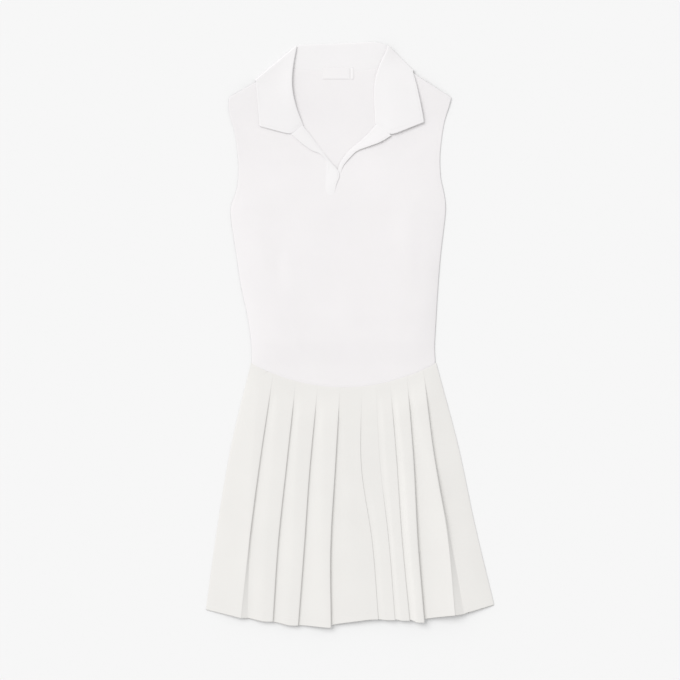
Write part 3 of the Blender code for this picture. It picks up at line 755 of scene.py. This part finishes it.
def collar_section(row, notch, turned):
    """Points across the collar: neck seam, up to the roll, round it, and down to the outer edge."""
    _, seam, roll, edge, roll_rise, edge_rise = row
    seam, roll, edge = (Vector((*point, 0)) for point in (seam, roll, edge))
    middle = Vector((*notch, 0)) if notch else roll.lerp(edge, LEAF_MIDDLE)
    to_roll = (roll - seam).normalized()
    to_leaf = (middle - roll).normalized()
    outward = (roll - edge).normalized().cross(Vector((0, 0, 1)))
    if outward.y < 0:
        outward = -outward
    up = Vector((0, 0, math.cos(turned))) + outward * math.sin(turned)
    in_front = max(math.cos(turned), 0)
    behind = max(-math.cos(turned), 0)
    lap = NECK_LAP * behind
    straight = min(TURN * ROLL_REACH, (roll - seam).length * STAND_STRAIGHT)
    leaf = TURN + PITCH
    change = edge_rise - roll_rise
    points = [
        (seam - to_roll * lap, TURN + NECK_DIP[0] * behind, 0),
        (seam + to_roll * (lap + NECK_ROOM) * NECK_START, TURN + NECK_DIP[1] * behind, 0),
        (seam + to_roll * (lap + NECK_ROOM), TURN + NECK_DIP[2] * behind, 0),
        (seam.lerp(roll, 0.5), TURN + NECK_DIP[2] * behind, roll_rise * STAND_RISE[0]),
        (roll - to_roll * straight, TURN, roll_rise * STAND_RISE[1]),
        (roll - to_roll * TURN, TURN * ROLL_OUT[0], roll_rise),
        (roll, TURN * ROLL_OUT[1], roll_rise),
        (roll + to_leaf * TURN, TURN * ROLL_OUT[2], roll_rise),
        (roll + to_leaf * TURN * ROLL_REACH, leaf, roll_rise),
        (roll.lerp(middle, LEAF_START), leaf, roll_rise + change * LEAF_RISE[0]),
        (middle, leaf, roll_rise + change * LEAF_RISE[1]),
    ]
    points += [(middle.lerp(edge, share), leaf, edge_rise) for share in LEAF_SHARES]
    section = []
    for point, out, rise in points:
        panel = float(front_z(np.array(point.x), np.array(point.y))) - FLOOR_LAYER - 2 * PITCH
        section.append(point + up * out + Vector((0, 0, NECK_Z + panel * in_front + rise)))
    return section


collar_sections = []
for i, row in enumerate(COLLAR):
    turns = {FRONT: (0,), BACK: (180,), SHOULDER: SHOULDER_TURNS}[row[0]]
    if i > len(COLLAR) / 2:
        turns = turns[::-1]
    for turn in turns:
        collar_sections.append(collar_section(row, NOTCHES.get(i), math.radians(turn)))
    if i == 0:
        first = np.array(collar_sections[0])
        second = np.array(collar_section(COLLAR[1], None, 0))
        collar_sections.append(first + (second - first) * END_LENGTH)
    if i == len(COLLAR) - 2:
        last = np.array(collar_section(COLLAR[-1], NOTCHES[len(COLLAR) - 1], 0))
        before = np.array(collar_sections[-1])
        collar_sections.append(last + (before - last) * END_LENGTH)
collar_points = np.array([[tuple(point) for point in section] for section in collar_sections])
near_placket = 1 - np.clip((np.arange(collar_points.shape[1]) - END_POINTS) / END_FADE, 0, 1)
for end in (0, -1):
    collar_points[end, :, 2] -= END_DIP * near_placket
# the collar and both bands get this lighter copy of the knit, whose extra lightness is painted light
collar_knit_painted_light = cloth_material("collar_knit_painted_light", COLLAR_PAINTED_LIGHT_COLOURS, KNIT_LOOP, COLLAR_RELIEF, KNIT_FUZZ)
collar = cloth("collar_cloth", [collar_points], collar_knit_painted_light, "collar", COLLAR_CLOTH, 2)
collar.modifiers["soft"].boundary_smooth = "PRESERVE_CORNERS"

# Two bands of the same doubled knit finish the V and turn out beside it. The left one laps over the right
# one at the bottom of the V and runs a little way down the front.

PLACKET_OVER = (  # inner edge, outer edge, rise of the inner and the outer edge: from the collar's end down
    ((-73.9, 326.0), (-92.3, 311.8), -0.5, -0.5),
    ((-59.0, 307.5), (-77.0, 298.4), -1.4, -0.1),
    ((-46.5, 290.6), (-59.4, 285.6), -1.7, -0.1),
    ((-31.0, 269.8), (-44.0, 279.0), -1.6, -0.5),
    ((-15.9, 249.6), (-36.0, 263.0), -0.5, -1.6),
    ((-21.0, 232.5), (-42.0, 238.0), -0.6, -1.8),
    ((-24.6, 212.2), (-42.5, 212.5), -1.9, -2.0),
)
PLACKET_UNDER = (
    ((41.5, 327.5), (64.5, 309.1), -1.2, 1.3),
    ((28.0, 312.0), (49.0, 299.4), -1.1, 1.8),
    ((15.0, 300.0), (30.5, 292.2), -1.1, 1.5),
    ((2.5, 289.5), (10.9, 284.8), -0.8, 0.8),
    ((-6.5, 280.0), (-0.4, 274.0), -0.6, 0.3),
    ((-15.8, 266.0), (-10.4, 261.6), -0.8, -0.2),
    ((-19.6, 253.0), (-14.4, 248.6), -1.4, -1.6),
)
PLACKET_STEPS = 28
PLACKET_ACROSS = (0.0, 0.06, 0.3, 0.5, 0.7, 0.94, 1.0)
PLACKET_CROWN = 0.3


def placket_points(table):
    """Rows of a band between its two edges, as far above the front as the table says, a little crowned."""
    inner_edge, outer_edge, inner_rises, outer_rises = zip(*table)
    inner = smooth_line(inner_edge, PLACKET_STEPS)
    outer = smooth_line(outer_edge, PLACKET_STEPS)
    down = np.linspace(0, 1, PLACKET_STEPS + 1)
    given = np.linspace(0, 1, len(table))
    inner_rise = np.interp(down, given, inner_rises)
    outer_rise = np.interp(down, given, outer_rises)
    across = np.array(PLACKET_ACROSS)[None, :]
    flat = inner[:, None] * (1 - across[..., None]) + outer[:, None] * across[..., None]
    x, y = flat[..., 0], flat[..., 1]
    rise = inner_rise[:, None] * (1 - across) + outer_rise[:, None] * across
    return np.dstack([x, y, front_z(x, y) + PITCH + rise + PLACKET_CROWN * np.sin(across * math.pi)])


over_points = placket_points(PLACKET_OVER)
placket_over = cloth(
    "placket_over_cloth", [over_points], collar_knit_painted_light, "placket_over", COLLAR_CLOTH
)
under_points = placket_points(PLACKET_UNDER)
placket_under = cloth(
    "placket_under_cloth", [under_points], collar_knit_painted_light, "placket_under", COLLAR_CLOTH
)

# The label inside the back neck is a small woven satin tab, bare, with both ends folded under and stitched
# down over the neck seam. A narrow folded size tab is caught beside it.

LABEL_SPAN = (-43.4, 0.4)
TAB_SPAN = (1.8, 6.2)
LABEL_LOW = 396.2
LABEL_HIGH = 414.6
LABEL_Z = 2.05
LABEL_CLOTH = 0.24
LABEL_BOW = 0.12
TAB_BOW = 0.3
LABEL_COLUMNS = 13
TAB_COLUMNS = 5
LABEL_ROWS = 9
TURNED_IN = (1.5, 0.2)  # the end of the folded part and its turn, inwards from the side and downwards
TURNED_DOWN = (0.3, 0.25)
SATIN_COLOURS = ((0.780, 0.765, 0.769), (0.790, 0.775, 0.779))
SATIN_YARN = 0.3
SATIN_RELIEF = 0.03
SATIN_FUZZ = 0.0
SATIN_ROUGHNESS = 0.45


def label_points(span, bow, columns):
    """Rows of a small tab: its two ends turn under, and its middle bows up a little."""
    left, right = span
    share = np.linspace(0, 1, columns)
    turned, sunk = np.array(TURNED_IN), -np.array(TURNED_DOWN)
    x = np.concatenate([left + turned, left + (right - left) * share, right - turned[::-1]])
    lift = np.concatenate([sunk, bow * np.sin(share * math.pi), sunk[::-1]])
    y = np.linspace(LABEL_LOW, LABEL_HIGH, LABEL_ROWS)
    grid_x, grid_y = np.meshgrid(x, y)
    return np.dstack([grid_x, grid_y, LABEL_Z + np.zeros_like(grid_y) + lift[None, :]])


satin = cloth_material("label_satin", SATIN_COLOURS, SATIN_YARN, SATIN_RELIEF, SATIN_FUZZ)
satin.node_tree.nodes["Principled BSDF"].inputs["Roughness"].default_value = SATIN_ROUGHNESS
label_grids = [
    label_points(LABEL_SPAN, LABEL_BOW, LABEL_COLUMNS),
    label_points(TAB_SPAN, TAB_BOW, TAB_COLUMNS),
]
neck_label = cloth("neck_label_cloth", label_grids, satin, "neck_label", LABEL_CLOTH)

# All the sewing is one white thread in short lockstitches: round the hems and armholes, along the waist, the
# shoulders and the edges of the collar and plackets, and down the ends of the label.

THREAD_COLOUR = (0.80, 0.79, 0.785)
THREAD_ROUGHNESS = 0.6
STITCH_LENGTH = 2.3
STITCH_PITCH = 3.1
STITCH_WIDTH = 0.42
STITCH_HEIGHT = 0.2
HEM_STITCH = 12.0  # above the skirt's hem
ARMHOLE_STITCH = 6.0
ARMHOLE_FROM = 200.0
ARMHOLE_STEPS = 60
SHOULDER_STEPS = 20
WAIST_STEPS = 80
EDGE_STITCH = 3.0
BODICE_MIDDLE = (CENTRE_X, 250.0)
LEAF_STITCH = 0.12  # share of the way in from the leaf's outer edge to the point named next
LEAF_POINT = -4
LEAF_FACING = -3  # the point across the leaf that gives the direction away from it
END_STITCH = 0.1
END_STITCHED = slice(7, -1)  # the points across the collar's ends that are stitched
BAND_INSET = 0.3  # at most this share of a band's width
BAND_CROWN = 0.6  # share of its crown that the band has under the stitches
BAND_STITCHED = slice(1, -4)  # the points along a band, short of both ends
LABEL_STITCH = 1.2
LABEL_MARGIN = 1.0
LABEL_STEPS = 12

thread = bpy.data.materials.new("white_thread")
thread.use_nodes = True
thread_shader = thread.node_tree.nodes["Principled BSDF"]
thread_shader.inputs["Base Color"].default_value = (*THREAD_COLOUR, 1)
thread_shader.inputs["Roughness"].default_value = THREAD_ROUGHNESS


def sewn(name, lines):
    """Stitches along lines. Each line is its points and the directions away from the cloth, in rows."""
    size = Matrix.Diagonal((STITCH_LENGTH / 2, STITCH_WIDTH / 2, STITCH_HEIGHT / 2, 1 / MM)) * MM
    mesh = bmesh.new()
    for points, outward in lines:
        points, outward = np.asarray(points, float), np.asarray(outward, float)
        lengths = np.concatenate([[0], np.cumsum(np.linalg.norm(np.diff(points, axis=0), axis=1))])
        for start in np.arange(STITCH_PITCH / 2, lengths[-1] - STITCH_LENGTH, STITCH_PITCH):
            end = start + STITCH_LENGTH
            first = Vector([np.interp(start, lengths, values) for values in points.T])
            last = Vector([np.interp(end, lengths, values) for values in points.T])
            away = Vector([np.interp(start, lengths, values) for values in outward.T])
            along = (last - first).normalized()
            aside = away.cross(along).normalized()
            away = along.cross(aside)
            place = Matrix.Translation((first + last) / 2 * MM)
            turn = Matrix((along, aside, away)).transposed().to_4x4()
            bmesh.ops.create_icosphere(mesh, subdivisions=1, radius=1, matrix=place @ turn @ size)
    data = bpy.data.meshes.new(name)
    mesh.to_mesh(data)
    mesh.free()
    data.materials.append(thread)
    data.shade_smooth()
    piece = bpy.data.objects.new(name, data)
    bpy.context.scene.collection.objects.link(piece)
    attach(piece, "root")


def on_panel(line, height, side):
    """A line of (x, y) laid on the upper side of a bodice panel, or on its lower side where side is -1."""
    line = np.asarray(line, float)
    z = height(line[:, 0], line[:, 1]) + side * KNIT_THICKNESS / 2
    return np.column_stack([line, z]), np.tile((0, 0, side), (len(line), 1))


def set_in(line, distance, towards):
    """A line of (x, y) moved sideways by a distance, to the side where the point towards lies."""
    line = np.asarray(line, float)
    along = np.gradient(line, axis=0)
    aside = np.column_stack([-along[:, 1], along[:, 0]]) / np.linalg.norm(along, axis=1)[:, None]
    sign = np.sign(np.sum(aside[len(line) // 2] * (np.asarray(towards) - line[len(line) // 2])))
    return line + aside * sign * distance


def upwards(count):
    """The direction straight up, for each of a line's points."""
    return np.tile((0, 0, 1), (count, 1))


front_lines, back_lines = [], []
for side in (LEFT, RIGHT):
    armhole_edge = [(row[side], row[0]) for row in BODICE_EDGE if row[0] >= ARMHOLE_FROM]
    round_armhole = set_in(smooth_line(armhole_edge, ARMHOLE_STEPS), ARMHOLE_STITCH, BODICE_MIDDLE)
    seam = np.linspace(shoulder_tip(side), SHOULDER_NECK[side], SHOULDER_STEPS)
    shoulder = set_in(seam, EDGE_STITCH, BODICE_MIDDLE)
    front_lines += [on_panel(line, front_z, 1) for line in (round_armhole, shoulder)]
    back_lines += [on_panel(line, back_z, -1) for line in (round_armhole, shoulder)]
waist_x = np.linspace(BODICE_EDGE[0][LEFT] + EDGE_STITCH, BODICE_EDGE[0][RIGHT] - EDGE_STITCH, WAIST_STEPS)
waist = np.column_stack([waist_x, seam_y(waist_x) + EDGE_STITCH])
front_lines.append(on_panel(waist, front_z, 1))
back_lines.append(on_panel(waist, back_z, -1))
sewn("front_bodice_stitches", front_lines)
sewn("back_bodice_stitches", back_lines)

for name, points, side in (("front_hem_stitches", front_points, 1), ("back_hem_stitches", back_points, -1)):
    length = np.linalg.norm(points[1, 0] - points[0, 0])
    row = int(HEM_STITCH // length)
    line = points[row] + (points[row + 1] - points[row]) * (HEM_STITCH / length - row)
    along = np.gradient(line, axis=0)
    outward = side * np.column_stack([-along[:, 2], np.zeros(len(line)), along[:, 0]])
    outward /= np.linalg.norm(outward, axis=1)[:, None]
    sewn(name, [(line + outward * WEAVE_THICKNESS / 2, outward)])

leaf = collar_points[:, -1] + (collar_points[:, LEAF_POINT] - collar_points[:, -1]) * LEAF_STITCH
along, across = np.gradient(collar_points, axis=(0, 1))
outward = np.cross(along[:, LEAF_FACING], across[:, LEAF_FACING])
outward /= np.linalg.norm(outward, axis=1)[:, None]
outward *= np.sign(outward[0, 2])
collar_lines = [(leaf[1:-1] + outward[1:-1] * COLLAR_CLOTH / 2, outward[1:-1])]
for end, inner in ((0, 1), (-1, -2)):
    front_end = collar_points[inner] + (collar_points[2 * inner - end] - collar_points[inner]) * END_STITCH
    up = upwards(len(front_end))
    line = front_end + up * COLLAR_CLOTH / 2
    collar_lines.append((line[END_STITCHED], up[END_STITCHED]))
sewn("collar_stitches", collar_lines)

for name, band in (("placket_over_stitches", over_points), ("placket_under_stitches", under_points)):
    up = upwards(len(band))
    width = np.linalg.norm(band[:, -1] - band[:, 0], axis=1)[:, None]
    inset = np.minimum(EDGE_STITCH / width, BAND_INSET)
    lines = [band[:, 0] + (band[:, -1] - band[:, 0]) * share for share in (inset, 1 - inset)]
    lines = [line + (0, 0, COLLAR_CLOTH / 2 + PLACKET_CROWN * BAND_CROWN) for line in lines]
    sewn(name, [(line[BAND_STITCHED], up[BAND_STITCHED]) for line in lines])

label_lines = []
for x in (LABEL_SPAN[0] + LABEL_STITCH, LABEL_SPAN[1] - LABEL_STITCH):
    line = np.linspace((x, LABEL_LOW + LABEL_MARGIN), (x, LABEL_HIGH - LABEL_MARGIN), LABEL_STEPS)
    z = np.full(LABEL_STEPS, LABEL_Z + LABEL_CLOTH / 2)
    label_lines.append((np.column_stack([line, z]), upwards(LABEL_STEPS)))
sewn("label_stitches", label_lines)
